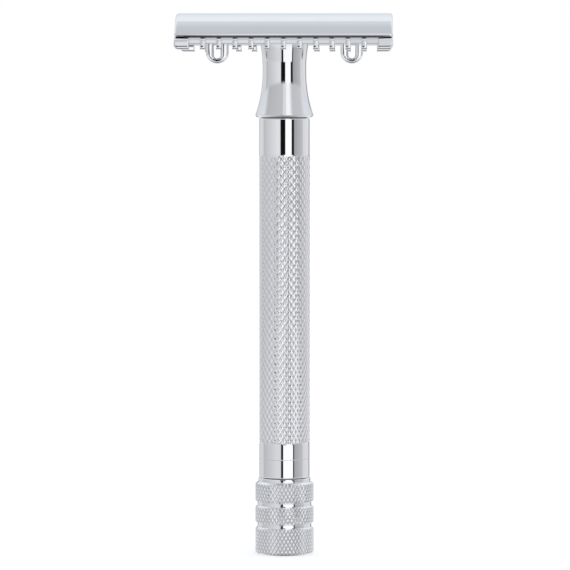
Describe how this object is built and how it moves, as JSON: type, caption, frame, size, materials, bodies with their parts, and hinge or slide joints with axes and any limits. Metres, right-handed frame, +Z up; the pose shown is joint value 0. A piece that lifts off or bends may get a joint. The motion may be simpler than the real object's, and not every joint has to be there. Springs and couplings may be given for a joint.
{
  "type": "safety razor",
  "caption": "Open-comb double-edge safety razor with a long knurled handle; a twist knob draws the cap down to clamp the blade.",
  "frame": {"origin": "centre of the knob's flat base, where the razor stands", "axes": "+Z up the handle to the head, X along the head and its cutting edges, Y across the head"},
  "size_m": [0.0406, 0.0244, 0.1023],
  "materials": {
    "chrome": "polished",
    "steel": "satin",
    "blade_steel": "satin",
    "spring_steel": "satin",
    "brass": "satin",
    "nylon": "matte"
  },
  "bodies": {
    "handle": {"comb_plate": "chrome", "neck": "chrome", "handle_tube": "chrome", "lower_bush": "brass"},
    "knob": {"knob": "chrome", "spindle": "steel", "draw_nut": "brass", "retaining_clip": "spring_steel", "thrust_washer": "nylon"},
    "cap": {"cap": "chrome", "cap_stud": "steel", "blade": "blade_steel"}
  },
  "joints": [
    {"name": "knob_turn", "type": "hinge", "parent": "handle", "child": "knob", "pos_m": [0, 0, 0], "axis": [0, 0, -1], "range_deg": [0, 2160]},
    {"name": "cap_lift", "type": "slide", "parent": "handle", "child": "cap", "axis": [0, 0, 1], "range_m": [0, 0.0048]}
  ],
  "couplings": [
    {"joint": "cap_lift", "follows": "knob_turn", "m_per_rad": 0.00012732}
  ]
}
